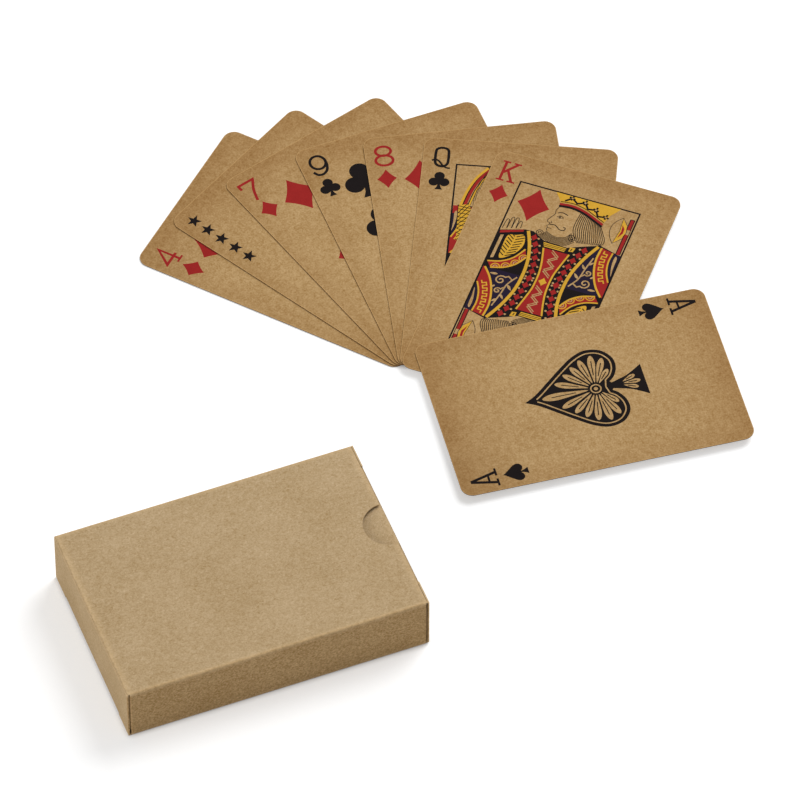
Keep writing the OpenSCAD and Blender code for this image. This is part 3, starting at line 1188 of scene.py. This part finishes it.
# veil bands are (place across from its edge, pen)
queenSet = {
    "veil": [(19.9, 77.6), (16.6, 73.4), (14.2, 68.0), (12.6, 62.0)],
    "darkBands": [(2.4, 0.9), (0.7, 1.7)],
    "yellowBands": [(0.0, 0.8), (2.5, 0.5)],
    "redBand": (1.25, 0.95),
    "crownLine": ([(20.5, 76.4), (26, 75.6), (32, 75.9), (37.5, 77.4)], 0.9),
    "crown": [(20.2, 77.9), (38.0, 77.9), (36.4, 76.8), (32, 76.5), (26, 76.3), (21.0, 77.0)],
    "lattice": [
        (12.2, 62.4), (14.6, 63.2), (17.0, 60.4), (18.6, 56.8),
        (18.4, 53.2), (16.0, 50.4), (12.4, 49.0),
    ],
    "latticePen": 0.7,
    "latticeNear": [(12.3, 62.3), (12.3, 58.0), (12.3, 53.6), (12.4, 49.2)],
    "latticeFar": [(14.6, 63.1), (17.2, 60.2), (18.6, 56.0), (16.2, 50.6)],
    "crossing": (2, 4, 0.26),  # steps along, steps across, pen
    "patch": [(10.6, 62.4), (12.0, 62.4), (12.0, 59.4), (10.6, 59.4)],
    "hair": (
        [(19.6, 76.0), (17.4, 70.0), (16.4, 64.0), (17.0, 60.0)],
        [(22.6, 75.6), (21.0, 70.0), (20.2, 65.0), (20.4, 61.0)],
        9, 0.16,
    ),
}
queenFace = {  # calm, turned a little to one side
    "profile": (
        [(27.6, 75.4), (28.0, 71.0), (29.3, 67.6), (28.4, 66.9), (28.3, 65.4), (27.2, 63.4), (24.4, 62.8)],
        0.2,
    ),
    "eyes": (23.2, 26.0),
    "lid": [(0, 69.5), (0.9, 70.0), (1.7, 69.6)],
    "brow": [(-0.1, 71.2), (0.9, 71.6), (1.9, 71.2)],
    "eyePen": 0.2,
    "pupil": (0.9, 69.5, 0.28, 9),
    "mouth": ([(25.2, 65.2), (26.1, 65.4), (27.0, 65.1)], 0.24),
}


def queenHead():
    veil = curveThrough(queenSet["veil"])
    under = [line(shifted(veil, across), width) for across, width in queenSet["darkBands"]]
    under += [stroke(*queenSet["crownLine"]), ring(queenSet["lattice"], queenSet["latticePen"])]
    yellow = [line(shifted(veil, across), width) for across, width in queenSet["yellowBands"]]
    yellow += [fill(queenSet["lattice"]), fill(queenSet["crown"])]
    across, width = queenSet["redBand"]
    red = [line(shifted(veil, across), width), fill(queenSet["patch"])]
    over = []
    near = curveThrough(queenSet["latticeNear"])
    far = curveThrough(queenSet["latticeFar"])
    along, reach, width = queenSet["crossing"]
    for k in range(0, len(near) - reach, along):
        over += [line([near[k], far[k + reach]], width), line([near[k + reach], far[k]], width)]
    over += strands(*queenSet["hair"]) + [stroke(*queenFace["profile"])]
    u, v, radius, count = queenFace["pupil"]
    for eye in queenFace["eyes"]:
        over += [stroke(shifted(queenFace[key], eye), queenFace["eyePen"]) for key in ("lid", "brow")]
        over += [fill(circle(eye + u, v, radius, count))]
    over += [stroke(*queenFace["mouth"])]
    return under, red, yellow, [], [], over, []


def courtArt(sign, suit, head, flip):
    robe = robeArt()
    if flip:
        robe = [moved(group, fanSet["width"], 0, flip=True) for group in robe]
    ground, navy, red, yellow, bare, lines, gem = robe
    under, headRed, headYellow, redOver, headBare, over, studs = head
    return [
        ("black_ink", ground, [ring(*courtFrame)]),
        ("navy_ink", navy, []),
        ("black_ink", under, []),
        ("red_ink", red + headRed, []),
        ("yellow_ink", yellow + headYellow, gem),
        ("red_ink", redOver, []),
        ("card_stock", bare + headBare, []),
        ("black_ink", lines + over, []),
        ("card_stock", studs, []),
        (suit["ink"], indexAt(sign) + indexPip(suit), []),
    ]


printCard("king_of_diamonds", courtArt("K", suits["diamond"], kingHead(), False))
printCard("queen_of_clubs", courtArt("Q", suits["club"], queenHead(), True))
print("court cards printed")


# studio: pale floor, soft key light from behind on the right, low fill from the left
stageSet = {
    "aim": (0.06, 0.05, 0.0),
    "floor": 3.0,
    "drop": 0.0001,
    "tone": (0.75, 0.755, 0.76, 1.0),
    "lift": 0.44,
    "contact": 0.0015,
    "contactRays": 4,
    "key": {"at": (0.80, 0.45, 0.95), "size": 0.9, "power": 12.9, "colour": (1.0, 1.0, 1.0)},
    "fill": {"at": (-1.1, -0.15, 0.45), "size": 0.8, "power": 6.0, "colour": (1.0, 0.98, 0.95)},
    "sky": 0.34,
    "skyTone": (1.0, 1.0, 1.0, 1.0),
}


def seenPlain(tree):
    # 1 where the eye, a mirror or glass looks straight at the background
    seen = addNode(tree, "LightPath").outputs
    plain = maths("MAXIMUM", seen["Is Camera Ray"], seen["Is Glossy Ray"])
    return maths("MAXIMUM", plain, seen["Is Transmission Ray"])


def floorMaterial():
    material, tree = newTree("paleFloor")
    matte = addNode(tree, "BsdfDiffuse", {"Color": stageSet["tone"]})
    # painted contact shade: the white lift fades in the cracks where the object meets the floor
    sockets = {"Distance": stageSet["contact"]}
    near = addNode(tree, "AmbientOcclusion", sockets, samples=stageSet["contactRays"])
    lifted = times(seenPlain(tree), stageSet["lift"])
    lift = addNode(tree, "Emission", {"Strength": times(lifted, near.outputs["AO"])})
    both = addNode(tree, "AddShader", {0: matte.outputs[0], 1: lift.outputs[0]})
    addNode(tree, "OutputMaterial", {"Surface": both.outputs[0]})
    return material


def addFloor():
    sheet = bmesh.new()
    bmesh.ops.create_grid(sheet, x_segments=1, y_segments=1, size=stageSet["floor"])
    u, v, _ = stageSet["aim"]
    bmesh.ops.translate(sheet, verts=sheet.verts[:], vec=(u, v, -stageSet["drop"]))
    floor = addSheet("floor", sheet, floorMaterial())


def addLamp(name, spec):
    data = bpy.data.lights.new(name, "AREA")
    data.shape = "DISK"
    data.size = spec["size"]
    data.energy = spec["power"]
    data.color = spec["colour"]
    lamp = addObject(name, data)
    lamp.location = spec["at"]
    ahead = Vector(stageSet["aim"]) - Vector(spec["at"])
    lamp.rotation_euler = ahead.to_track_quat("-Z", "Y").to_euler()


def addSky():
    world = bpy.data.worlds.new("studio")
    bpy.context.scene.world = world
    world.use_nodes = True
    tree = world.node_tree
    tree.nodes.clear()
    levels = {0: seenPlain(tree), 1: 1.0 - stageSet["sky"], 2: stageSet["sky"]}
    strength = addNode(tree, "Math", levels, operation="MULTIPLY_ADD").outputs[0]
    dome = addNode(tree, "Background", {"Color": stageSet["skyTone"], "Strength": strength})
    addNode(tree, "OutputWorld", {"Surface": dome.outputs[0]})


addFloor()
addLamp("keyLight", stageSet["key"])
addLamp("fillLight", stageSet["fill"])
addSky()
bpy.context.scene.view_settings.view_transform = "Standard"
print("studio set")
